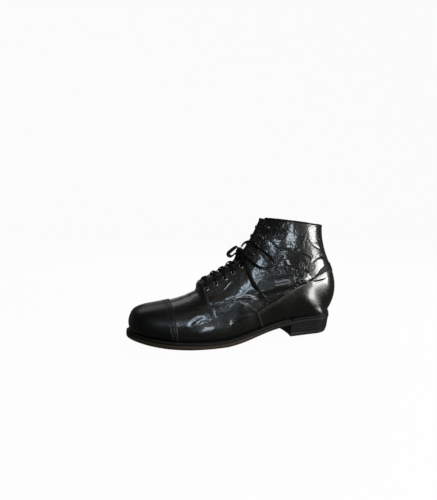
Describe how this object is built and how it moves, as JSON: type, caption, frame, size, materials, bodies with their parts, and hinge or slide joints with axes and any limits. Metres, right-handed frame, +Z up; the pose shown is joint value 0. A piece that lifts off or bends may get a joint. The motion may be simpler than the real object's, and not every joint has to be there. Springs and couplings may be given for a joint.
{
  "type": "lace-up ankle boot",
  "caption": "Left black leather ankle boot with toe cap, laced front with eyelets and hooks, tied bow, welted leather sole and low stacked heel.",
  "frame": {"origin": "middle of the boot's length and width, on the floor", "axes": "+X from toe to heel, +Y to the inner side of the foot, +Z up"},
  "size_m": [0.303, 0.0998, 0.1649],
  "materials": {
    "upper_leather": "polished black leather, creased and crackled with age",
    "edge_leather": "black edge dressing, dull",
    "sole_leather": "brown sole leather, its edge worn through the black dressing",
    "lining": "bare brown leather, matte",
    "rubber": "matte black",
    "metal": "black japanned, semi-gloss",
    "lace": "flat woven cotton, matte black",
    "lace_tip": "glossy black"
  },
  "bodies": {
    "root": {"outsole": "sole_leather", "welt": "edge_leather", "heel_rand": "edge_leather", "heel_stack": "edge_leather", "top_lift": "rubber", "insole": "lining", "upper": "upper_leather", "tongue": "upper_leather", "toe_cap": "upper_leather", "quarter_outer": "upper_leather", "quarter_inner": "upper_leather", "foxing": "upper_leather", "collar_binding": "upper_leather", "eyelet_outer_1": "metal", "eyelet_outer_2": "metal", "eyelet_outer_3": "metal", "eyelet_outer_4": "metal", "eyelet_outer_5": "metal", "eyelet_inner_1": "metal", "eyelet_inner_2": "metal", "eyelet_inner_3": "metal", "eyelet_inner_4": "metal", "eyelet_inner_5": "metal", "hook_outer_1": "metal", "hook_outer_2": "metal", "hook_outer_3": "metal", "hook_outer_4": "metal", "hook_inner_1": "metal", "hook_inner_2": "metal", "hook_inner_3": "metal", "hook_inner_4": "metal", "lace_bars": "lace", "lace_knot": "lace", "lace_loop_front": "lace", "lace_loop_side": "lace", "lace_end_outer": "lace", "lace_end_inner": "lace", "lace_tip_outer": "lace_tip", "lace_tip_inner": "lace_tip"}
  },
  "joints": []
}
